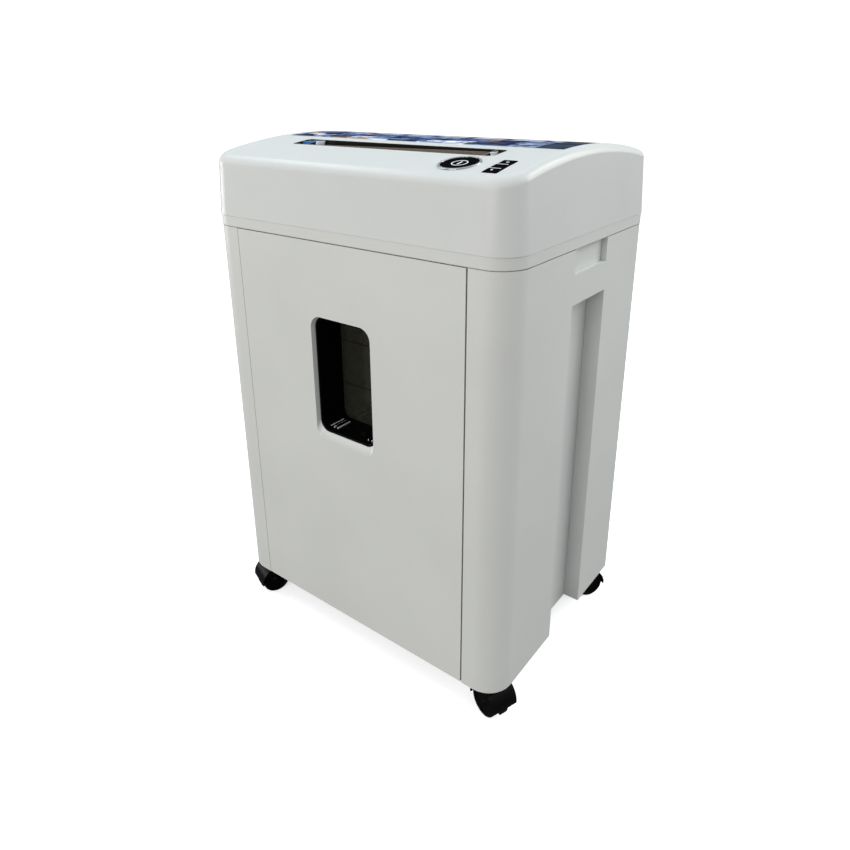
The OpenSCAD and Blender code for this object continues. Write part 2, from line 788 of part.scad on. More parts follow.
module head_screws() {
    color(steel) head_screw_places() translate([0, 0, z_part - 0.05]) screw(1.85, 26, 3.8, 2.4);
}

module chassis_screws() {
    places = [[left_plate_x - 6, front_y - 12], [left_plate_x - 6, rear_y + 12],
        [right_plate_x - 6, 8], [right_plate_x - 6, 84]];
    color(steel) for (p = places) translate([p[0], p[1], z_tray + 2.55]) mirror([0, 0, 1])
        screw(2, 2.4, 4, 2.2);
}

// ---------- cabinet ----------

module side_panel() {
    groove = [groove_y - groove_w / 2, groove_y + groove_w / 2];
    grip = [groove_y - grip_w / 2, groove_y + grip_w / 2];
    difference() {
        union() {
            translate([0, 0, z_cab]) linear_extrude(cabinet_h) difference() {
                intersection() {
                    cabinet_plan(0);
                    translate([opening_x, -half_d]) square([half_w, 2 * half_d]);
                }
                difference() {
                    cabinet_plan(wall);
                    // Post beside the bin front, and flange behind the rear panel
                    translate([opening_x, -half_d]) square([jamb_t, jamb_d + wall]);
                    translate([rear_x - 12, half_d - 2 * wall - 0.05]) square([40, 10]);
                }
                translate([0, half_d - wall - 0.05]) square([rear_x + 0.2, 10]);
                translate([0, half_d - 2 * wall - 1]) square([rear_x - 12, 10]);
            }
            box([half_w - groove_depth - wall, half_w - 1], [groove[0] - wall, groove[1] + wall],
                [z_cab, groove_top + wall]);
            box([half_w - grip_depth - wall, half_w - 1], [grip[0] - wall, grip[1] + wall],
                [z_part - grip_h - wall, z_part]);
        }
        box([half_w - groove_depth, half_w + 1], groove, [z_cab - 1, groove_top]);
        box([half_w - grip_depth, half_w + 1], grip, [z_part - grip_h, z_part + 1]);
        rear_screw_places(true) cylinder(r = 1.9, h = 12, center = true);
    }
}

module side_panel_right() { color(wall_grey) side_panel(); }

module side_panel_left() { color(wall_grey) mirror([1, 0, 0]) side_panel(); }

module rear_screw_places(one_side) {
    for (s = one_side ? [1] : [-1, 1], z = [z_cab + 40, z_cab + 230, z_cab + 420])
        translate([s * (rear_x - 6), half_d - wall, z]) rotate([90, 0, 0]) children();
}

module rear_panel() {
    color(wall_grey) difference() {
        box([-rear_x, rear_x], [half_d - wall, half_d], [z_cab, z_part]);
        rear_screw_places(false) {
            cylinder(r = 2.1, h = 12, center = true);
            translate([0, 0, -wall - 1]) cylinder(r = 4.1, h = 2.6);
        }
        for (s = [-1, 1], k = [0:5]) box([s * 90 - 35, s * 90 + 35], [half_d - 5, half_d + 1],
            [z_cab + 385 + k * 9, z_cab + 389 + k * 9]);
    }
}

module rear_screws() {
    color(steel) rear_screw_places(false) translate([0, 0, -wall + 1.55]) screw(1.85, 5.9, 3.8, 1.3);
}

module base_tray() {
    color(dark_grey) difference() {
        union() {
            translate([0, 0, z_plate]) linear_extrude(base_t) cabinet_plan(wall + 0.3);
            tray_ring(wall + 0.3, 2.5, z_cab + 1, z_base + 8);
            for (c = casters) translate([c[0], c[1], z_plate]) cylinder(r = 12, h = base_t + 5);
        }
        box([-opening_x - 3.5, opening_x + 3.5], [-half_d, -half_d + 16], [z_cab - 1, z_base + 20]);
        groove_room = groove_w / 2 + wall + 0.3;
        box_both_sides([half_w - groove_depth - wall - 0.3, half_w],
            [groove_y - groove_room, groove_y + groove_room], [z_cab - 1, z_base + 20]);
        box([-half_w, half_w], [half_d - 2 * wall - 0.3, half_d], [z_cab - 1, z_base + 20]);
        for (c = casters) translate([c[0], c[1], z_plate - 1]) cylinder(r = kingpin_r + 0.02, h = 7);
    }
}

module bin_rails() {
    run = [-110, 112];
    color(dark_grey) {
        box_both_sides([rail_x - 8, rail_x + 8], run, [z_base, rail_top]);
        box_both_sides([rail_x + 7, bin_x + 4], run, [z_base, z_base + 2]);
        box_both_sides([bin_x + 1, bin_x + 4], run, [z_base, z_base + 16]);
    }
}

// ---------- waste bin ----------

module waste_bin() {
    color(black_plastic) difference() {
        union() {
            box([-bin_x, bin_x], [bin_front_y, bin_back_y], [bin_z, bin_top]);
            box([-bin_x - 2.5, bin_x + 2.5], [bin_front_y, bin_back_y + 2], [bin_top - 6, bin_top]);
            box_both_sides([rail_x - 6, rail_x + 6], [bin_front_y, bin_back_y - 4],
                [rail_top + 0.4, bin_z + 1]);
            // Seat for the magnet
            translate([0, bin_back_y - 10, bin_top - 10]) rotate([-90, 0, 0]) cylinder(r = 8, h = 9);
        }
        difference() {
            box([-bin_x + bin_t, bin_x - bin_t], [bin_front_y + bin_t, bin_back_y - bin_t],
                [bin_z + 2.5, bin_top + 1]);
            translate([0, bin_back_y - 10, bin_top - 10]) rotate([-90, 0, 0]) cylinder(r = 8, h = 9);
        }
        window_prism(-2, bin_front_y - 1, bin_front_y + bin_t + 1);
        translate([0, bin_back_y - 10.5, bin_top - 10]) rotate([-90, 0, 0]) cylinder(r = 5.02, h = 8.3);
        for (x = [-boss_x, boss_x], z = boss_z) along_y(x, bin_front_y - 1, z) cylinder(r = 2.1, h = 6);
    }
}

module bin_front() {
    rim = 10;
    mouth = [window_w + 2 * bevel_side, window_h + sill_h + bevel_top];
    color(wall_grey) difference() {
        union() {
            difference() {
                box([-front_left, front_right], [-half_d, -half_d + wall + rim],
                    [z_cab + 0.5, z_part - 0.4]);
                box([-front_left + 2.5, front_right - 2.5], [-half_d + wall, half_d],
                    [z_cab + 3, z_part - 2.9]);
            }
            for (x = [-boss_x, boss_x], z = boss_z) along_y(x, -half_d + 1, z)
                cylinder(r = 5.5, h = bin_front_y + half_d - 1.05);
            // Thicker frame behind the bevel
            window_prism(frame_w, -half_d + 1, -half_d + sill_depth + 2);
        }
        window_prism(0, -half_d - 1, 0);
        // Bevel round the window: a sloping sill below, narrow at the sides and the top
        hull() {
            translate([window_x, -half_d - eps, window_z - (sill_h - bevel_top) / 2]) rotate([90, 0, 0])
                linear_extrude(eps)
                    rounded_rect(mouth[0], mouth[1], window_r + bevel_side, $fn = 32);
            translate([window_x, -half_d + sill_depth, window_z]) rotate([90, 0, 0]) linear_extrude(eps)
                rounded_rect(window_w, window_h, window_r, $fn = 32);
        }
        for (x = [-boss_x, boss_x], z = boss_z) along_y(x, -half_d + 12, z) cylinder(r = 1.9, h = 40);
    }
}

module window_bezel() {
    y0 = -half_d + sill_depth + 0.3;
    y1 = bin_front_y - 2.4;
    color(black_plastic) {
        difference() {
            union() {
                window_prism(-0.2, y0, y1);
                window_prism(4, -half_d + sill_depth + 2.1, -half_d + sill_depth + 4.1);
            }
            window_prism(-2.2, y0 - 1, y1 + 1);
        }
        // Clips and ribs on the tunnel's floor
        zf = window_z - window_h / 2 + 2.1;
        for (x = [window_x - 24, window_x + 24]) box([x - 1, x + 1], [y0 + 8, y1 - 4], [zf, zf + 4]);
        for (x = [window_x - 14, window_x + 10]) box([x - 4, x + 4], [y0 + 14, y0 + 16], [zf, zf + 3]);
    }
}

module window_pane() {
    color([0.2, 0.19, 0.17, 0.7]) window_prism(1.2, bin_front_y - 2.2, bin_front_y - 0.1);
}

module bin_screws() {
    color(steel) for (x = [-boss_x, boss_x], z = boss_z)
        along_y(x, bin_front_y + bin_t + 0.05, z) mirror([0, 0, 1]) screw(1.85, 20, 3.8, 2.4);
}

// ---------- casters ----------

// Places a caster that is drawn with its kingpin on Z and its wheels trailing along +X
module at_caster(c) {
    translate([c[0], c[1], 0]) rotate([0, 0, c[2]]) children();
}

module caster_plates() {
    color(black_plastic) for (c = casters) at_caster(c) {
        translate([0, 0, z_plate - 3]) cylinder(r = 15, h = 2.95);
        translate([0, 0, wheel_r + 6]) cylinder(r = kingpin_r, h = z_plate - wheel_r - 6 + 4);
    }
}

module caster_hood(c) {
    web = web_w / 2;
    color(black_plastic) at_caster(c) difference() {
        union() {
            // Fender over both wheels
            translate([trail, 0, wheel_r]) rotate([90, 0, 0]) translate([0, 0, -web - wheel_w - 1.5])
                difference() {
                    cylinder(r = wheel_r + 2.4, h = 2 * (web + wheel_w + 1.5));
                    translate([0, 0, -1]) cylinder(r = wheel_r + 1, h = 2 * (web + wheel_w + 2.5));
                    translate([-30, -60, -1]) cube([60, 58, 60]);
                }
            // Central web and swivel hub
            intersection() {
                union() {
                    translate([trail, 0, wheel_r]) rotate([90, 0, 0])
                        cylinder(r = wheel_r + 2.4, h = web_w, center = true);
                    box([-6, trail], [-web, web], [wheel_r + 4, 2 * wheel_r + 2]);
                }
                box([-20, 60], [-web, web], [8, 60]);
            }
            translate([0, 0, 2 * wheel_r + 1.2]) cylinder(r = 9, h = z_plate - 3.5 - 2 * wheel_r - 1.2);
        }
        translate([0, 0, wheel_r + 5]) cylinder(r = kingpin_r + run_fit, h = 40);
        translate([trail, 0, wheel_r]) rotate([90, 0, 0]) cylinder(r = 2.5 + run_fit, h = 60, center = true);
    }
}

module caster_wheels(c) {
    web = web_w / 2 + 0.5;
    color(black_plastic) at_caster(c) translate([trail, 0, wheel_r]) rotate([90, 0, 0]) {
        cylinder(r = 2.5, h = 2 * web + 4, center = true);
        for (s = [0, 1]) mirror([0, 0, s]) translate([0, 0, web]) rotate_extrude() polygon([
            [0, 1], [wheel_r - 4, 1], [wheel_r - 4, 0], [wheel_r - 1, 0], [wheel_r, 1],
            [wheel_r, wheel_w - 2], [wheel_r - 1, wheel_w - 0.6], [wheel_r - 4, wheel_w],
            [wheel_r - 4.5, wheel_w - 1.5], [5, wheel_w - 1.5], [4, wheel_w], [0, wheel_w]]);
    }
}

module caster_hood_fr() { caster_hood(caster_fr); }
module caster_hood_fl() { caster_hood(caster_fl); }
module caster_hood_rr() { caster_hood(caster_rr); }
module caster_hood_rl() { caster_hood(caster_rl); }
module caster_wheels_fr() { caster_wheels(caster_fr); }
module caster_wheels_fl() { caster_wheels(caster_fl); }
module caster_wheels_rr() { caster_wheels(caster_rr); }
module caster_wheels_rl() { caster_wheels(caster_rl); }

side_panel_left();
side_panel_right();
rear_panel();
base_tray();
bin_rails();
head_tray();
shred_chute();
head_cover();
top_label();
feed_throat();
button_ring();
power_button();
button_symbol();
indicator_lens();
display_board();
status_leds();
control_board();
mains_inlet();
paper_sensor();
bin_sensor();
run_capacitor();
motor_can();
motor_bracket();
motor_rotor();
motor_pinion();
motor_fan();
chassis_plate();
gear_plate();
gear_cover();
tie_rods();
gear_standoffs();
idler_axles();
cutter_bearings();
cutter_front();
cutter_rear();
sync_gear_front();
sync_gear_rear();
cutter_gear();
idler_gear_first();
idler_gear_second();
stripper_front();
stripper_rear();
head_screws();
chassis_screws();
rear_screws();
waste_bin();
bin_front();
window_bezel();
window_pane();
bin_screws();
bin_magnet();
caster_plates();
caster_hood_fr();
caster_hood_fl();
caster_hood_rr();
caster_hood_rl();
caster_wheels_fr();
caster_wheels_fl();
caster_wheels_rr();
caster_wheels_rl();
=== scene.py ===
import json
import math

import bmesh
import bpy
from mathutils import Matrix, Vector


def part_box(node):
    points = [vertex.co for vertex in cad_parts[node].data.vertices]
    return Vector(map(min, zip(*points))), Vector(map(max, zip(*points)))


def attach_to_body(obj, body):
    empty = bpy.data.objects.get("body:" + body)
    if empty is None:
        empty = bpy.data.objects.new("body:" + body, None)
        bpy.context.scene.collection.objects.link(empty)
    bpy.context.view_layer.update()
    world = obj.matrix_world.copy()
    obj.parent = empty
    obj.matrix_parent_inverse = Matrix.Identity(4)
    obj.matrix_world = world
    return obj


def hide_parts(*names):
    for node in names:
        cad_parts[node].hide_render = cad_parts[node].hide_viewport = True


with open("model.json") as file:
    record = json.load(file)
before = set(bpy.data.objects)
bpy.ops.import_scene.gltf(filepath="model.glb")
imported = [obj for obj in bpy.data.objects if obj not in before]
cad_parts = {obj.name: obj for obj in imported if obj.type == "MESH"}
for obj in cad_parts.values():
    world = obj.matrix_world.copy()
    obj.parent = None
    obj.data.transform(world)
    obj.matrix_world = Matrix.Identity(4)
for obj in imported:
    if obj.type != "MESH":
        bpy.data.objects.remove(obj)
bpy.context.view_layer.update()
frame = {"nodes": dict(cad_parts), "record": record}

MM = 0.001

# ---------------------------------------------------------------- places

# Boxes come from the frame, and the plain numbers repeat those of part.scad
cover_low, cover_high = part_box("head_cover")
HALF_W = cover_high.x
HALF_D = cover_high.y
BAND_Z = cover_low.z
CROWN_Z = cover_high.z

# The crown is part of a cylinder about a line along X, a little behind the middle
CROWN_R = 627 * MM
CROWN_Y = 10 * MM

# The head's vertical corners, its rounded top edge, its walls' inward lean and its thickness
CORNER_R = 30 * MM
REAR_R = 8 * MM
EDGE_R = 9 * MM
LEAN = 3.4 * MM
SHELL = 2.6 * MM

# The feed slot: its mouth and the throat's walls inside it
THROAT_LOW, THROAT_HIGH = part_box("feed_throat")
FEED_Y = -64 * MM
MOUTH_X = 5 * MM
MOUTH_CORNER = 6 * MM
THROAT_WALL = 1.5 * MM
LEFT_RIB_IN = 23.2 * MM
RIGHT_RIB_IN = 13.2 * MM

# The power button and the indicator strip beside it
RING_LOW, RING_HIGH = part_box("button_ring")
BUTTON_X = (RING_LOW.x + RING_HIGH.x) / 2
BUTTON_Y = -107 * MM
RING_R = (RING_HIGH.x - RING_LOW.x) / 2
LENS_LOW, LENS_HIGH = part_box("indicator_lens")
LENS_X = (LENS_LOW.x + LENS_HIGH.x) / 2
LENS_Y = -107.8 * MM
LENS_W = 14.5 * MM
LENS_L = 35.5 * MM

# The label, with the front edge of its row of pale panels
LABEL_LOW, LABEL_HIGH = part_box("top_label")
PANEL_ROW_Y = 12 * MM

# The window's tunnel
TUNNEL_FLOOR = 286.3 * MM
TUNNEL_FRONT = -129 * MM
TUNNEL_REAR = -108 * MM


def crown_z(y):
    """Height of the crown's surface."""
    return CROWN_Z - CROWN_R + math.sqrt(CROWN_R**2 - (y - CROWN_Y) ** 2)


def crown_matrix(x, y, lift=0.0):
    """Frame whose Z is the crown's normal at (x, y)."""
    slope = -math.asin((y - CROWN_Y) / CROWN_R)
    turn = Matrix.Rotation(slope, 4, "X")
    return Matrix.Translation((x, y, crown_z(y))) @ turn @ Matrix.Translation((0, 0, lift))


# ---------------------------------------------------------------- materials


class Nodes:
    """Short calls for building a material's nodes. Scales are in cells or waves per metre."""

    def __init__(self, name):
        self.material = bpy.data.materials.new(name)
        self.material.use_nodes = True
        self.tree = self.material.node_tree
        self.shader = self.tree.nodes["Principled BSDF"]
        self.place = self.add("ShaderNodeTexCoord").outputs["Object"]

    def add(self, kind, **settings):
        node = self.tree.nodes.new(kind)
        for key, value in settings.items():
            setattr(node, key, value)
        return node

    def link(self, a, b):
        self.tree.links.new(a, b)

    def noise(self, scale, detail=3.0, roughness=0.5, stretch=(1, 1, 1)):
        mapping = self.add("ShaderNodeMapping")
        mapping.inputs["Scale"].default_value = stretch
        self.link(self.place, mapping.inputs["Vector"])
        node = self.add("ShaderNodeTexNoise")
        node.inputs["Scale"].default_value = scale
        node.inputs["Detail"].default_value = detail
        node.inputs["Roughness"].default_value = roughness
        self.link(mapping.outputs["Vector"], node.inputs["Vector"])
        return node.outputs["Fac"]

    def ramp(self, value, low, high, colour_low, colour_high):
        node = self.add("ShaderNodeValToRGB")
        node.color_ramp.elements[0].position = low
        node.color_ramp.elements[1].position = high
        node.color_ramp.elements[0].color = (*colour_low, 1)
        node.color_ramp.elements[1].color = (*colour_high, 1)
        self.link(value, node.inputs["Fac"])
        return node.outputs["Color"]

    def cells(self, scale, randomness):
        """A random value for each cell of a loose grid."""
        mapping = self.add("ShaderNodeMapping")
        mapping.inputs["Scale"].default_value = scale
        self.link(self.place, mapping.inputs["Vector"])
        node = self.add("ShaderNodeTexVoronoi", distance="CHEBYCHEV")
        node.inputs["Scale"].default_value = 1.0
        node.inputs["Randomness"].default_value = randomness
        self.link(mapping.outputs["Vector"], node.inputs["Vector"])
        parts = self.add("ShaderNodeSeparateColor")
        self.link(node.outputs["Color"], parts.inputs["Color"])
        return parts.outputs["Red"]

    def steps(self, value, stops):
        """Plain steps of colour along a value."""
        node = self.add("ShaderNodeValToRGB")
        node.color_ramp.interpolation = "CONSTANT"
        while len(node.color_ramp.elements) < len(stops):
            node.color_ramp.elements.new(1.0)
        for element, (position, colour) in zip(node.color_ramp.elements, stops):
            element.position = position
            element.color = (*colour, 1)
        self.link(value, node.inputs["Fac"])
        return node.outputs["Color"]

    def spread(self, value, low, high, start=0.0, end=1.0):
        """Maps start..end to low..high."""
        node = self.add("ShaderNodeMapRange")
        node.inputs["From Min"].default_value = start
        node.inputs["From Max"].default_value = end
        node.inputs["To Min"].default_value = low
        node.inputs["To Max"].default_value = high
        self.link(value, node.inputs["Value"])
        return node.outputs["Result"]

    def mix(self, factor, a, b, blend="MIX"):
        node = self.add("ShaderNodeMix", data_type="RGBA", blend_type=blend)
        colour_a, colour_b, colour_out = node.inputs[6], node.inputs[7], node.outputs[2]
        for socket, value in ((node.inputs["Factor"], factor), (colour_a, a), (colour_b, b)):
            if isinstance(value, bpy.types.NodeSocket):
                self.link(value, socket)
            else:
                socket.default_value = value
        return colour_out

    def bump(self, height, strength, distance):
        node = self.add("ShaderNodeBump")
        node.inputs["Strength"].default_value = strength
        node.inputs["Distance"].default_value = distance
        self.link(height, node.inputs["Height"])
        return node.outputs["Normal"]


def shade(colour, k):
    """A lighter or darker colour, at most white."""
    return tuple(min(1.0, c * k) for c in colour)


def plastic(name, colour, roughness, grain=900, grain_depth=0.02, vary=0.03, crevice=0.75, reach=6,
            specular=0.5):
    """Moulded or painted plastic: faint clouding, fine grain, and painted shade in its corners and
    seams.
    """
    n = Nodes(name)
    cloud = n.noise(7, 4)
    fine = n.noise(grain, 2, 0.6)
    base = n.ramp(cloud, 0.3, 0.7, shade(colour, 1 - vary), shade(colour, 1 + vary))
    speck = n.ramp(fine, 0.35, 0.65, shade((1, 1, 1), 1 - vary), (1, 1, 1))
    base = n.mix(1.0, base, speck, "MULTIPLY")
    # Painted shade: ambient occlusion darkens the colour towards crevice in corners, seams and
    # recesses within reach
    corner = n.add("ShaderNodeAmbientOcclusion", samples=4)
    corner.inputs["Distance"].default_value = reach * MM
    deep = (crevice, crevice * 0.99, crevice * 0.97)
    painted_corner_shade = n.ramp(corner.outputs["AO"], 0.15, 0.6, deep, (1, 1, 1))
    base = n.mix(1.0, base, painted_corner_shade, "MULTIPLY")
    n.link(base, n.shader.inputs["Base Color"])
    worn = n.spread(n.noise(40, 3), roughness - 0.04, roughness + 0.04)
    n.link(worn, n.shader.inputs["Roughness"])
    n.link(n.bump(fine, 0.5, grain_depth * MM), n.shader.inputs["Normal"])
    n.shader.inputs["Specular IOR Level"].default_value = specular
    return n.material


def metal(name, colour, roughness, stretch=(1, 1, 1), scratches=0.3):
    """Metal with fine directional scratches and cloudy tarnish."""
    n = Nodes(name)
    cloud = n.noise(30, 4)
    lines = n.noise(260, 3, 0.6, stretch)
    base = n.ramp(cloud, 0.3, 0.75, shade(colour, 0.85), shade(colour, 1.08))
    n.link(base, n.shader.inputs["Base Color"])
    n.shader.inputs["Metallic"].default_value = 1.0
    n.link(n.spread(lines, roughness * 0.75, roughness * 1.3), n.shader.inputs["Roughness"])
    n.link(n.bump(lines, scratches, 0.03 * MM), n.shader.inputs["Normal"])
    return n.material


def smoked_glass(name):
    """Dark pane that lets a little light through, with faint dust."""
    n = Nodes(name)
    dust = n.noise(120, 5, 0.7)
    tint = n.ramp(dust, 0.3, 0.8, (0.018, 0.018, 0.014), (0.036, 0.036, 0.028))
    n.link(tint, n.shader.inputs["Base Color"])
    n.link(n.spread(dust, 0.10, 0.2), n.shader.inputs["Roughness"])
    n.shader.inputs["Alpha"].default_value = 0.85
    n.shader.inputs["Specular IOR Level"].default_value = 0.3
    return n.material


# Where each ink starts on a scale of 0 to 1, and its colour
LABEL_INKS = [
    (0.0, (0.04, 0.045, 0.09)), (0.14, (0.07, 0.11, 0.24)), (0.38, (0.13, 0.19, 0.35)),
    (0.54, (0.24, 0.31, 0.45)), (0.66, (0.08, 0.09, 0.14)), (0.74, (0.66, 0.68, 0.76)),
    (0.94, (0.36, 0.24, 0.16)),
]


def label_art(name):
    """Film printed with a mosaic of coloured fields, and a row of pale panels behind it."""
    n = Nodes(name)
    fields = n.cells((38, 80, 1), 0.45)
    details = n.cells((130, 260, 1), 0.8)
    art = n.steps(fields, LABEL_INKS)
    marks = n.ramp(details, 0.1, 0.9, (0.45, 0.48, 0.6), (1.5, 1.45, 1.3))
    art = n.mix(1.0, art, marks, "MULTIPLY")
    streak = n.noise(130, 4, 0.6, (0.5, 1.6, 1))
    streak = n.ramp(streak, 0.40, 0.62, (0.6, 0.62, 0.7), (1.15, 1.12, 1.1))
    art = n.mix(1.0, art, streak, "MULTIPLY")
    parts = n.add("ShaderNodeSeparateXYZ")
    n.link(n.place, parts.inputs["Vector"])
    behind = n.spread(parts.outputs["Y"], 0.0, 1.0, PANEL_ROW_Y, PANEL_ROW_Y + 0.2 * MM)
    rear = n.ramp(behind, 0.4, 0.6, (0, 0, 0), (1, 1, 1))
    panels = n.add("ShaderNodeTexBrick", offset=0.0, squash=1.0)
    panels.inputs["Color1"].default_value = (0.60, 0.63, 0.70, 1)
    panels.inputs["Color2"].default_value = (0.30, 0.36, 0.50, 1)
    panels.inputs["Mortar"].default_value = (0.055, 0.075, 0.19, 1)
    panels.inputs["Scale"].default_value = 1.0
    panels.inputs["Brick Width"].default_value = 46 * MM
    panels.inputs["Row Height"].default_value = 24 * MM
    panels.inputs["Mortar Size"].default_value = 5 * MM
    row = n.add("ShaderNodeMapping")
    row.inputs["Location"].default_value = (0, -PANEL_ROW_Y, 0)
    n.link(n.place, row.inputs["Vector"])
    n.link(row.outputs["Vector"], panels.inputs["Vector"])
    shown = n.mix(1.0, panels.outputs["Color"], streak, "MULTIPLY")
    art = n.mix(rear, art, shown)
    n.link(art, n.shader.inputs["Base Color"])
    n.shader.inputs["Roughness"].default_value = 0.4
    # Seen along the crown, gloss would hide the print
    n.shader.inputs["Specular IOR Level"].default_value = 0.0
    return n.material


# A plastic's name, colour and roughness can be followed by its grain's fineness, the grain's
# depth in millimetres and how much its colour varies
# crevice and reach set how dark the painted shade in corners is and how far it goes
WALL = plastic("wall plastic", (0.64, 0.65, 0.625), 0.42, crevice=0.45, reach=2.5)
HEAD = plastic("head plastic", (0.64, 0.65, 0.635), 0.30, grain=1400, grain_depth=0.01,
               crevice=0.8, specular=0.25)
BLACK = plastic("black plastic", (0.016, 0.016, 0.017), 0.42, grain=1200, vary=0.15, specular=0.3)
BLACK_GLOSS = plastic("black gloss", (0.005, 0.005, 0.006), 0.30, 1500, 0.002, 0.2, specular=0.0)
TUNNEL = plastic("tunnel plastic", (0.002, 0.002, 0.002), 0.16, 800, 0.004, 0.2, specular=0.08)
THROAT = plastic("throat plastic", (0.012, 0.011, 0.009), 0.2, 800, 0.004, 0.2, specular=0.2)
GUIDE = plastic("guide plastic", (0.25, 0.205, 0.165), 0.3, 500, 0.004, 0.2, specular=0.3)
CASTER = plastic("caster plastic", (0.0022, 0.0022, 0.0026), 0.35, 1200, 0.01, 0.2, specular=0.06)
SYMBOL = plastic("symbol white", (0.85, 0.85, 0.84), 0.35, 1500, 0.004)
NYLON = plastic("nylon", (0.78, 0.77, 0.72), 0.4, 1200, 0.01)
STRIPPER = plastic("stripper plastic", (0.05, 0.05, 0.055), 0.5, 1200, 0.01)
BOARD = plastic("board", (0.02, 0.10, 0.05), 0.3, 2500, 0.01, 0.15)
LED = plastic("led lens", (0.75, 0.8, 0.75), 0.15, 1500, 0.002)
CAPACITOR = plastic("capacitor sleeve", (0.62, 0.61, 0.58), 0.3, 900, 0.01)
CHROME = metal("chrome", (0.46, 0.47, 0.49), 0.20, scratches=0.05)
ZINC = metal("zinc", (0.55, 0.56, 0.57), 0.36)
HARD_STEEL = metal("hard steel", (0.36, 0.36, 0.37), 0.28, (0.3, 3, 3))
BRONZE = metal("bronze", (0.55, 0.38, 0.20), 0.38)
SCREW = metal("screw steel", (0.50, 0.50, 0.51), 0.30)
PANE = smoked_glass("smoked pane")
LABEL = label_art("label film")
TAN = plastic("label border", (0.45, 0.27, 0.15), 0.4, 400, 0.002, 0.2, specular=0.0)
SLATE = plastic("label end", (0.055, 0.07, 0.11), 0.4, 60, 0.002, 0.45, specular=0.0)
# White of the slot's rib caps, and of the tunnel's beads, where it is a painted highlight standing
# in for glints
RIB_AND_GLINT_WHITE = plastic("rib and painted glint white", (0.90, 0.92, 0.95), 0.2, 1200, 0.004)
BLUE_FILM = plastic("blue film", (0.03, 0.22, 0.60), 0.3, 300, 0.002, 0.3)

SLOT_MATERIALS = {
    "wall_plastic": WALL, "head_plastic": HEAD, "label_film": LABEL, "throat_plastic": THROAT,
    "black_gloss": BLACK_GLOSS, "symbol_white": SYMBOL, "chrome": CHROME, "smoked_pane": PANE,
    "black_plastic": BLACK, "caster_black": CASTER, "board": BOARD, "led_lens": LED,
    "capacitor_can": CAPACITOR, "zinc_steel": ZINC, "hard_steel": HARD_STEEL, "nylon": NYLON,
    "stripper_plastic": STRIPPER, "bronze": BRONZE, "screw_steel": SCREW,
}
NODE_SLOT = {part["node"]: part["material_slot"] for part in frame["record"]["subparts"]}
BODIES = frame["record"]["behaviour"]["bodies"]
NODE_BODY = {node: body for body, nodes in BODIES.items() for node in nodes}

for node_name, cad_object in frame["nodes"].items():
    cad_object.data.materials.clear()
    cad_object.data.materials.append(SLOT_MATERIALS[NODE_SLOT[node_name]])

# ---------------------------------------------------------------- mesh helpers


def make(name, bm, *materials):
    """An object of a mesh under construction, with its normals outwards."""
    mesh = bpy.data.meshes.new(name)
    bmesh.ops.recalc_face_normals(bm, faces=bm.faces)
    bm.to_mesh(mesh)
    bm.free()
    for material in materials:
        mesh.materials.append(material)
    piece = bpy.data.objects.new(name, mesh)
    bpy.context.scene.collection.objects.link(piece)
    return piece


def bake(piece):
    """Applies a piece's modifiers."""
    scene_graph = bpy.context.evaluated_depsgraph_get()
    mesh = bpy.data.meshes.new_from_object(piece.evaluated_get(scene_graph))
    piece.modifiers.clear()
    piece.data = mesh


def soften(piece, width, segments=3, angle=35):
    """Rounds the sharp edges and shades the rest smoothly."""
    bevel = piece.modifiers.new("edges", "BEVEL")
    bevel.width = width
    bevel.segments = segments
    bevel.limit_method = "ANGLE"
    bevel.angle_limit = math.radians(angle)
    bevel.use_clamp_overlap = True
    bevel.miter_outer = "MITER_ARC"
    bake(piece)
    smooth(piece, angle)


def smooth(piece, angle=35):
    """Shades the faces smoothly, apart from edges sharper than an angle in degrees."""
    piece.data.polygons.foreach_set("use_smooth", [True] * len(piece.data.polygons))
    piece.data.set_sharp_from_angle(angle=math.radians(angle))
    weigh = piece.modifiers.new("normals", "WEIGHTED_NORMAL")
    weigh.keep_sharp = True
    bake(piece)


def attach(piece, node, replace=True):
    """Lets a piece move with a node's body. It can stand in for the node."""
    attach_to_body(piece, NODE_BODY[node])
    if replace:
        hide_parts(node)


def refine(node, width, finish=None):
    """A finished copy of a CAD node: merged flat faces and rounded edges."""
    bm = bmesh.new()
    bm.from_mesh(frame["nodes"][node].data)
    bmesh.ops.remove_doubles(bm, verts=bm.verts, dist=0.002 * MM)
    bmesh.ops.dissolve_limit(bm, angle_limit=math.radians(0.4), verts=bm.verts, edges=bm.edges)
    piece = make(node + ".finished", bm, finish or SLOT_MATERIALS[NODE_SLOT[node]])
    soften(piece, width)
    attach(piece, node)


def loft(name, rings, *materials):
    """A closed skin over rings of equal length, capped at both ends."""
    bm = bmesh.new()
    rows = [[bm.verts.new(p) for p in ring] for ring in rings]
    for low, high in zip(rows, rows[1:]):
        for i in range(len(low)):
            j = (i + 1) % len(low)
            bm.faces.new((low[i], low[j], high[j], high[i]))
    bm.faces.new(rows[0][::-1])
    bm.faces.new(rows[-1])
    return make(name, bm, *materials)


def lathe(name, profile, matrix, *materials, steps=96):
    """Turns a profile of (radius, height) round Z. Ends at radius 0 close to a point."""
    bm = bmesh.new()
    rows = []
    for radius, height in profile:
        if radius <= 0:
            rows.append([bm.verts.new(matrix @ Vector((0, 0, height)))] * steps)
            continue
        turns = [2 * math.pi * i / steps for i in range(steps)]
        ring = [Vector((radius * math.cos(a), radius * math.sin(a), height)) for a in turns]
        rows.append([bm.verts.new(matrix @ p) for p in ring])
    for low, high in zip(rows, rows[1:]):
        for i in range(steps):
            corners = [low[i], low[(i + 1) % steps], high[(i + 1) % steps], high[i]]
            corners = [v for k, v in enumerate(corners) if v not in corners[:k]]
            if len(corners) > 2:
                bm.faces.new(corners)
    bmesh.ops.remove_doubles(bm, verts=bm.verts, dist=0.001 * MM)
    return make(name, bm, *materials)


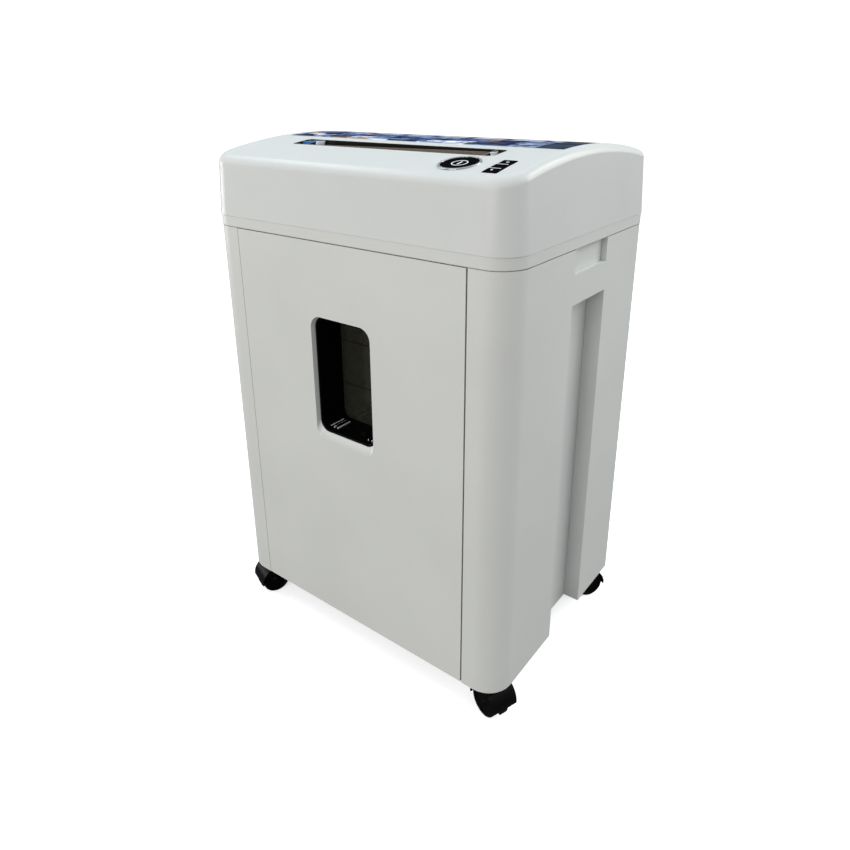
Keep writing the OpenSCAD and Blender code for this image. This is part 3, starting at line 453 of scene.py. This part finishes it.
def block(name, low, high, matrix=Matrix(), *materials):
    """A box between two corners, placed by a matrix."""
    bm = bmesh.new()
    bmesh.ops.create_cube(bm, size=1)
    low, high = Vector(low), Vector(high)
    for v in bm.verts:
        v.co = matrix @ Vector([(a + b) / 2 + c * (b - a) for a, b, c in zip(low, high, v.co)])
    return make(name, bm, *materials)


def cut(piece, *cutters):
    """Takes cutters out of a piece and deletes them."""
    for cutter in cutters:
        boolean = piece.modifiers.new("cut", "BOOLEAN")
        boolean.object = cutter
        boolean.operation = "DIFFERENCE"
        boolean.solver = "EXACT"
    bake(piece)
    for cutter in cutters:
        bpy.data.objects.remove(cutter)


def rounded_outline(half_x, half_y, corner, steps=12):
    """Points of a rounded rectangle about the origin."""
    points = []
    for quarter, (sx, sy) in enumerate(((1, -1), (1, 1), (-1, 1), (-1, -1))):
        for k in range(steps + 1):
            a = math.radians(-90 + 90 * quarter + 90 * k / steps)
            points.append((sx * (half_x - corner) + corner * math.cos(a),
                           sy * (half_y - corner) + corner * math.sin(a)))
    return points


# ---------------------------------------------------------------- head cover


def head_outline(inset, arc=20, side=40):
    """Plan of the head, with round corners and extra points along its sides."""
    w, d = HALF_W - inset, HALF_D - inset
    front, rear = max(CORNER_R - inset, 2 * MM), max(REAR_R - inset, 2 * MM)
    half = []
    for k in range(arc + 1):
        a = math.radians(-90 + 90 * k / arc)
        half.append((w - front + front * math.cos(a), -d + front + front * math.sin(a)))
    half += [(w, -d + front + (2 * d - front - rear) * k / side) for k in range(1, side)]
    for k in range(arc + 1):
        a = math.radians(90 * k / arc)
        half.append((w - rear + rear * math.cos(a), d - rear + rear * math.sin(a)))
    return half + [(-x, y) for x, y in reversed(half)]


def head_rings(thickness, foot, steps=12, cap_steps=16):
    """Rings of the head from its foot over the rounded edge to the middle of the crown."""
    edge = max(EDGE_R - thickness, 1 * MM)
    chamfer = 0.35 * MM
    rings = [[Vector((x, y, foot)) for x, y in head_outline(thickness + chamfer)]]
    rings.append([Vector((x, y, foot + chamfer)) for x, y in head_outline(thickness)])
    for k in range(steps + 1):
        a = math.radians(90 * k / steps)
        plan = head_outline(thickness + LEAN + edge * (1 - math.cos(a)))
        drop = thickness + edge * (1 - math.sin(a))
        rings.append([Vector((x, y, crown_z(y) - drop)) for x, y in plan])
    last = rings[-1]
    for k in range(1, cap_steps):
        s = 1 - k / cap_steps
        rings.append([Vector((p.x * s, p.y * s, crown_z(p.y * s) - thickness)) for p in last])
    return rings


def crown_cutter(name, plan, x, y, lip):
    """A cutter whose rim flares out with a small radius, following the crown."""
    depth, clearance = 30 * MM, 12 * MM
    profile = [(0.0, -depth), (0.0, -lip)]
    profile += [(lip * (1 - math.cos(math.radians(a))), -lip * (1 - math.sin(math.radians(a))))
                for a in (30, 60, 90)]
    profile.append((lip, clearance))
    rings = []
    for grow, height in profile:
        points = [(x + px, y + py) for px, py in plan(grow)]
        rings.append([Vector((px, py, crown_z(py) + height)) for px, py in points])
    return loft(name, rings)


def rectangle_plan(half_x, half_y, corner, steps=12):
    """Plan of a rounded rectangle that can grow on all sides."""
    return lambda grow: rounded_outline(half_x + grow, half_y + grow, corner + grow, steps)


def circle_plan(radius, slope, steps=64):
    """Plan of a circle that lies on a sloping surface, so it is a little short along Y."""
    return lambda grow: [((radius + grow) * math.cos(2 * math.pi * i / steps),
                          (radius + grow) * math.cos(slope) * math.sin(2 * math.pi * i / steps))
                         for i in range(steps)]


def head_cover():
    """The crowned shell, with openings for the slot, button, strip, inlet and air."""
    cover = loft("head_cover.finished", head_rings(0.0, BAND_Z), HEAD)
    hollow = loft("hollow", head_rings(SHELL, BAND_Z - 1 * MM, 4, 6))
    mouth = (THROAT_HIGH - THROAT_LOW) / 2
    slot_plan = rectangle_plan(mouth.x + 0.3 * MM, mouth.y + 0.3 * MM, MOUTH_CORNER)
    slot = crown_cutter("slot", slot_plan, MOUTH_X, FEED_Y, 1.2 * MM)
    slope_at_button = 0.19
    button_plan = circle_plan(RING_R - 1.2 * MM, slope_at_button)
    button = crown_cutter("button", button_plan, BUTTON_X, BUTTON_Y, 0.5 * MM)
    lens_plan = rectangle_plan(LENS_W / 2 + 0.25 * MM, LENS_L / 2 + 0.25 * MM, 0.8 * MM, 4)
    lens = crown_cutter("lens", lens_plan, LENS_X, LENS_Y, 0.3 * MM)
    cut(cover, hollow, slot, button, lens)
    inlet_low, inlet_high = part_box("mains_inlet")
    gap = Vector((0.15 * MM, 10 * MM, 0.15 * MM))
    inlet = block("inlet", inlet_low - gap, inlet_high + gap)
    slots = []
    count, first_x, pitch, width = 12, 20 * MM, 10 * MM, 4 * MM
    slot_foot, slot_top = BAND_Z + 18 * MM, BAND_Z + 46 * MM
    for k in range(count):
        x = first_x + k * pitch
        low = (x, HALF_D - 15 * MM, slot_foot)
        slots.append(block("air", low, (x + width, HALF_D + 5 * MM, slot_top)))
    cut(cover, inlet, *slots)
    smooth(cover, 40)
    attach(cover, "head_cover")


head_cover()

# ---------------------------------------------------------------- label sheet


def label_sheet():
    """A thin film over the crown: artwork, a tan strip along its rear edge, a slate right end."""
    border, end, steps = 7 * MM, 30 * MM, 24
    under, over = 0.0, 0.12 * MM
    art_l = LABEL_HIGH.y - border - LABEL_LOW.y
    ys = [LABEL_LOW.y + art_l * k / steps for k in range(steps + 1)] + [LABEL_HIGH.y]
    xs = [LABEL_LOW.x, LABEL_HIGH.x - end, LABEL_HIGH.x]
    bm = bmesh.new()
    skins = [[[bm.verts.new((x, y, crown_z(y) + lift)) for x in xs] for y in ys]
             for lift in (under, over)]
    rows, columns = len(ys), len(xs)
    for skin, flip in zip(skins, (True, False)):
        for r in range(rows - 1):
            for c in range(columns - 1):
                quad = [skin[r][c], skin[r][c + 1], skin[r + 1][c + 1], skin[r + 1][c]]
                face = bm.faces.new(quad[::-1] if flip else quad)
                face.material_index = 1 if r == rows - 2 else (2 if c == columns - 2 else 0)
    rim = [(0, c) for c in range(columns)] + [(r, columns - 1) for r in range(1, rows)]
    rim += [(rows - 1, c) for c in range(columns - 2, -1, -1)]
    rim += [(r, 0) for r in range(rows - 2, 0, -1)]
    for (r0, c0), (r1, c1) in zip(rim, rim[1:] + rim[:1]):
        bm.faces.new((skins[0][r0][c0], skins[0][r1][c1], skins[1][r1][c1], skins[1][r0][c0]))
    sheet = make("top_label.film", bm, LABEL, TAN, SLATE)
    smooth(sheet, 40)
    attach(sheet, "top_label")


label_sheet()

# ---------------------------------------------------------------- power button and indicator


def arc_profile(centre_r, centre_z, radius, start, end, steps=6):
    """Points of (radius, height) round a small arc, from start to end in degrees."""
    angles = [math.radians(start + (end - start) * k / steps) for k in range(steps + 1)]
    return [(centre_r + radius * math.cos(a), centre_z + radius * math.sin(a)) for a in angles]


def button_ring():
    """Polished ring: a rounded outer roll that dips to the button's gap."""
    place = crown_matrix(BUTTON_X, BUTTON_Y)
    inner, skirt, foot = RING_R - 2.3 * MM, RING_R - 1.6 * MM, -7 * MM
    outer_roll, inner_roll = 0.75 * MM, 0.45 * MM
    profile = [(inner, foot), (skirt, foot), (skirt, 0.0), (RING_R, 0.0)]
    profile += arc_profile(RING_R - outer_roll, 0.2 * MM, outer_roll, 0, 90)
    profile += arc_profile(inner + inner_roll, 0.5 * MM, inner_roll, 90, 180, 4)
    profile.append((inner, foot))
    ring = lathe("button_ring.finished", profile, place, CHROME)
    smooth(ring, 40)
    attach(ring, "button_ring")


def power_button():
    """Black disc with a rounded rim and a shallow dish."""
    place = crown_matrix(BUTTON_X, BUTTON_Y)
    radius, stem, foot, flange = RING_R - 2.6 * MM, 4 * MM, -8 * MM, -5 * MM
    rim, top, dish, steps = 0.8 * MM, 0.4 * MM, 0.35 * MM, 8
    profile = [(0, foot), (stem, foot), (stem, flange), (radius, flange)]
    profile += arc_profile(radius - rim, top - rim, rim, 0, 90)
    profile += [(radius * k / steps, top - dish * (1 - (k / steps) ** 2))
                for k in range(steps - 1, 0, -1)]
    profile.append((0, top - dish))
    disc = lathe("power_button.finished", profile, place, BLACK_GLOSS)
    smooth(disc, 40)
    attach(disc, "power_button")


def button_symbol():
    """A plain ring round a bar, printed on the button."""
    place = crown_matrix(BUTTON_X, BUTTON_Y, 0.22 * MM)
    outer, inner, height = 7.8 * MM, 6.7 * MM, 0.16 * MM
    profile = [(inner, 0), (outer, 0), (outer, height), (inner, height), (inner, 0)]
    ring = lathe("button_symbol.ring", profile, place, SYMBOL)
    attach(ring, "button_symbol")
    half_w, half_l, sunk = 0.75 * MM, 4.2 * MM, 0.12 * MM
    bar_low, bar_high = (-half_w, -half_l, -sunk), (half_w, half_l, height)
    bar = block("button_symbol.bar", bar_low, bar_high, place, SYMBOL)
    soften(bar, 0.05 * MM, 1)
    attach(bar, "button_symbol", replace=False)


def indicator():
    """Three black fields parted by white lines, with a small dot and a small ring."""
    place = crown_matrix(LENS_X, LENS_Y)
    half_w, half_l = LENS_W / 2, LENS_L / 2
    seam, line_w, fields = 0.5 * MM, 0.9 * MM, 3
    field = (LENS_L - (fields - 1) * seam) / fields
    flange, flange_foot, flange_top = 1.4 * MM, -5 * MM, -3.6 * MM
    body = block("indicator_lens.body", (-half_w - flange, -half_l - flange, flange_foot),
                 (half_w + flange, half_l + flange, flange_top), place, BLACK_GLOSS)
    soften(body, 0.2 * MM, 2)
    attach(body, "indicator_lens")
    # The fields step sideways a little, as the strip leans with the head
    edge_gap, side_step, tile_foot, tile_top = 0.4 * MM, 0.35 * MM, -3.7 * MM, 0.28 * MM
    for k in range(fields):
        y = -half_l + k * (field + seam)
        shift = (k - 1) * side_step
        tile = block(f"indicator_lens.field_{k}", (-half_w + edge_gap + shift, y, tile_foot),
                     (half_w - edge_gap + shift, y + field, tile_top), place, BLACK_GLOSS)
        soften(tile, 0.3 * MM, 3)
        attach(tile, "indicator_lens", replace=False)
    line_left, line_right = -half_w + 0.5 * MM, half_w - 2.5 * MM
    line_foot, line_top = 0.2 * MM, 0.36 * MM
    for number in range(fields - 1):
        y = -half_l + (number + 1) * (field + seam) - line_w
        mark = block(f"indicator_lens.line_{number}", (line_left, y, line_foot),
                     (line_right, y + line_w, line_top), place, SYMBOL)
        soften(mark, 0.04 * MM, 1)
        attach(mark, "indicator_lens", replace=False)
    thick, lift, dot_r, hole_r, sign_r = 0.14 * MM, 0.22 * MM, 1.1 * MM, 0.7 * MM, 1.4 * MM
    dot_place = place @ Matrix.Translation((-1.2 * MM, -half_l + 6.5 * MM, lift))
    dot = lathe("indicator_lens.dot", [(0, 0), (dot_r, 0), (dot_r, thick), (0, thick)],
                dot_place, SYMBOL, steps=24)
    attach(dot, "indicator_lens", replace=False)
    sign_place = place @ Matrix.Translation((0.6 * MM, half_l - 6.0 * MM, lift))
    profile = [(hole_r, 0), (sign_r, 0), (sign_r, thick), (hole_r, thick), (hole_r, 0)]
    sign = lathe("indicator_lens.sign", profile, sign_place, SYMBOL, steps=24)
    attach(sign, "indicator_lens", replace=False)


button_ring()
power_button()
button_symbol()
indicator()

# ---------------------------------------------------------------- CAD nodes with finished edges

# Each node's edge rounding, in millimetres
FINE = {
    "side_panel_left": 0.7, "side_panel_right": 0.7, "bin_front": 0.7, "head_tray": 0.5,
    "rear_panel": 0.5, "feed_throat": 0.4, "window_bezel": 0.4, "mains_inlet": 0.5,
    "waste_bin": 0.8, "base_tray": 0.6,
}
for node_name, width in FINE.items():
    refine(node_name, width * MM, TUNNEL if node_name == "window_bezel" else None)
for corner in ("fr", "fl", "rr", "rl"):
    refine("caster_hood_" + corner, 0.8 * MM)
    refine("caster_wheels_" + corner, 0.4 * MM)

# ---------------------------------------------------------------- feed slot and window details


def prism(name, outline, y0, y1, *materials):
    """A flat outline of (x, z) carried from y0 to y1."""
    return loft(name, [[Vector((x, y, z)) for x, z in outline] for y in (y0, y1)], *materials)


def slot_details():
    """A plate on the throat's rear wall, white caps on its end ribs, a blue leaf at its left."""
    wall_y = THROAT_HIGH.y - THROAT_WALL
    left, right = THROAT_LOW.x + LEFT_RIB_IN, THROAT_HIGH.x - RIGHT_RIB_IN
    rim_z = crown_z(wall_y)
    plate_foot, plate_left, plate_right = rim_z - 17 * MM, rim_z - 5.5 * MM, rim_z - 2.4 * MM
    plate_t = 1.2 * MM
    outline = [(left, plate_foot), (right, plate_foot), (right, plate_right), (left, plate_left)]
    plate = prism("feed_throat.guide", outline, wall_y - plate_t, wall_y, GUIDE)
    soften(plate, 0.25 * MM, 2)
    attach(plate, "feed_throat", replace=False)
    # Each cap's middle, half thickness, lean of its top to the right, and depth under the rim
    rib_t, cap_foot, cap_l, cap_gap = 2.6 * MM, rim_z - 15 * MM, 14 * MM, 1.3 * MM
    caps = [(left - rib_t / 2, 1.0 * MM, 5.0 * MM, 0.9 * MM),
            (right + rib_t / 2, 0.7 * MM, 1.2 * MM, 1.6 * MM)]
    for number, (x, half, lean, sink) in enumerate(caps):
        top = rim_z - sink
        outline = [(x - half, cap_foot), (x + half, cap_foot),
                   (x + half + lean, top), (x + lean - half, top)]
        cap = prism(f"feed_throat.rib_{number}", outline, wall_y - cap_l, wall_y - cap_gap, RIB_AND_GLINT_WHITE)
        soften(cap, 0.3 * MM, 2)
        attach(cap, "feed_throat", replace=False)
    pocket_left, pocket_right = THROAT_LOW.x + 3.5 * MM, left - 3 * MM
    leaf_foot = rim_z - 10.5 * MM
    outline = [(pocket_left, leaf_foot), (pocket_right, leaf_foot),
               (pocket_right, rim_z - 0.9 * MM), (pocket_left, rim_z - 2 * MM)]
    leaf_front, leaf_rear = THROAT_LOW.y + 13.7 * MM, wall_y - 0.2 * MM
    leaf = prism("feed_throat.leaf", outline, leaf_front, leaf_rear, BLUE_FILM)
    soften(leaf, 0.3 * MM, 2)
    attach(leaf, "feed_throat", replace=False)


def window_details():
    """Moulded beads on the tunnel's floor, white as painted glints, and two level marks on the
    smoked pane.
    """
    low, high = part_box("window_pane")
    middle = (low.x + high.x) / 2
    bead_w, bead_h, sunk = 1 * MM, 1.5 * MM, 0.2 * MM
    # The beads' white is a painted highlight: it stands in for glints on the tunnel's floor
    for number, offset in enumerate((-33, -28, -23, 23, 28, 33)):
        x = middle + offset * MM
        bead_low = (x - bead_w / 2, TUNNEL_FRONT, TUNNEL_FLOOR - sunk)
        bead_high = (x + bead_w / 2, TUNNEL_REAR, TUNNEL_FLOOR + bead_h)
        glint_bead = block(f"window_bezel.bead_{number}", bead_low, bead_high, Matrix(), RIB_AND_GLINT_WHITE)
        soften(glint_bead, 0.3 * MM, 2)
        attach(glint_bead, "window_bezel", replace=False)
    margin, mark_h, proud, depth = 3 * MM, 1 * MM, 0.05 * MM, 0.3 * MM
    for number, level in enumerate((330, 382)):
        z = level * MM
        mark_low = (low.x + margin, low.y - proud, z - mark_h / 2)
        mark_high = (high.x - margin, low.y + depth, z + mark_h / 2)
        mark = block(f"window_pane.mark_{number}", mark_low, mark_high, Matrix(), TUNNEL)
        soften(mark, 0.04 * MM, 1)
        attach(mark, "window_pane", replace=False)


slot_details()
window_details()

# ---------------------------------------------------------------- floor, light and camera


def floor():
    """A wide white sheet that the camera sees brighter than it lights the object."""
    half_side, bounced, seen_glow = 60, (0.19, 0.19, 0.185, 1), 0.62
    bm = bmesh.new()
    bmesh.ops.create_grid(bm, x_segments=2, y_segments=2, size=half_side)
    n = Nodes("studio floor")
    grain = n.ramp(n.noise(2, 3), 0.3, 0.7, (0.86, 0.86, 0.86), (0.88, 0.88, 0.88))
    path = n.add("ShaderNodeLightPath")
    seen = n.mix(path.outputs["Is Camera Ray"], bounced, grain)
    n.link(seen, n.shader.inputs["Base Color"])
    n.shader.inputs["Emission Color"].default_value = (1, 1, 1, 1)
    glow = n.spread(path.outputs["Is Camera Ray"], 0.0, seen_glow)
    n.link(glow, n.shader.inputs["Emission Strength"])
    n.shader.inputs["Roughness"].default_value = 1.0
    n.shader.inputs["Specular IOR Level"].default_value = 0.0
    ground = make("studio_floor", bm, n.material)


# Each soft light's name, place, target, size (metres), power (watts) and colour
LIGHTS = [
    ("overhead", (-0.2, 0.1, 2.4), (0, 0, 0.6), (3.0, 2.6), 12.5, (0.62, 0.92, 1.0)),
    ("front", (-0.05, -2.6, 0.9), (0, -0.1, 0.35), (1.6, 1.2), 28.5, (1.0, 0.945, 0.89)),
    ("edge_front", (-1.4, -0.33, 1.97), (0, -0.15, 0.57), (1.4, 0.4), 8, (0.88, 0.96, 1.0)),
    ("edge_right", (0.92, 1.5, 1.67), (0.2, 0, 0.57), (0.4, 0.4), 4, (1, 1, 1)),
    ("right", (2.0, 0.9, 2.1), (0.1, 0, 0.5), (1.4, 1.4), 15, (1.0, 0.96, 0.98)),
    ("left", (-2.4, -0.6, 0.45), (0, 0, 0.3), (1.2, 0.8), 14, (1.0, 0.98, 0.94)),
    ("back_right", (1.6, 2.0, 1.4), (0.1, 0, 0.4), (1.4, 1.4), 27, (0.98, 1.0, 0.94)),
]
WORLD_COLOUR = (0.93, 0.96, 1.0, 1)
WORLD_LIGHTING = 0.67
WORLD_SEEN = 1.25


def softbox(name, place, target, size, power, colour):
    """A rectangular soft light aimed at a target."""
    light = bpy.data.lights.new(name, "AREA")
    light.shape = "RECTANGLE"
    light.size, light.size_y = size
    light.energy = power
    light.color = colour
    lamp = bpy.data.objects.new(name, light)
    lamp.location = place
    lamp.rotation_euler = (Vector(target) - Vector(place)).to_track_quat("-Z", "Y").to_euler()
    bpy.context.scene.collection.objects.link(lamp)


def studio():
    """Soft lights all round, and a pale world that is seen as white."""
    bpy.context.scene.view_settings.view_transform = "Standard"
    world = bpy.data.worlds.new("studio")
    bpy.context.scene.world = world
    world.use_nodes = True
    tree = world.node_tree
    background = tree.nodes["Background"]
    path = tree.nodes.new("ShaderNodeLightPath")
    strength = tree.nodes.new("ShaderNodeMapRange")
    strength.inputs["To Min"].default_value = WORLD_LIGHTING
    strength.inputs["To Max"].default_value = WORLD_SEEN
    tree.links.new(path.outputs["Is Camera Ray"], strength.inputs["Value"])
    tree.links.new(strength.outputs["Result"], background.inputs["Strength"])
    background.inputs["Color"].default_value = WORLD_COLOUR
    for row in LIGHTS:
        softbox(*row)


def camera():
    """A camera in the place worked out from the edges of the object's picture."""
    lens = bpy.data.cameras.new("camera")
    # The picture's width, focal length and centre in its own pixels, and the sensor in millimetres
    image, focal, centre_x, centre_y = 850, 697.4, 424.6, 340.0
    sensor = 36.0
    lens.sensor_width = sensor
    lens.lens = focal * sensor / image
    lens.shift_x = (image / 2 - centre_x) / image
    lens.shift_y = -(image / 2 - centre_y) / image
    lens.clip_start = 0.01
    # The direction in radians
    yaw, pitch, roll = -0.6530, 0.3512, -0.0063
    forward = Vector((math.sin(yaw) * math.cos(pitch), math.cos(yaw) * math.cos(pitch),
                      -math.sin(pitch)))
    level = Vector((math.cos(yaw), -math.sin(yaw), 0))
    upright = level.cross(forward)
    right = level * math.cos(roll) + upright * math.sin(roll)
    up = upright * math.cos(roll) - level * math.sin(roll)
    place = Vector((0.4769, -0.6260, 0.6486))
    pose = Matrix((right, up, -forward)).transposed().to_4x4()
    pose.translation = place
    eye = bpy.data.objects.new("camera", lens)
    eye.matrix_world = pose
    bpy.context.scene.collection.objects.link(eye)
    bpy.context.scene.camera = eye


floor()
studio()
camera()
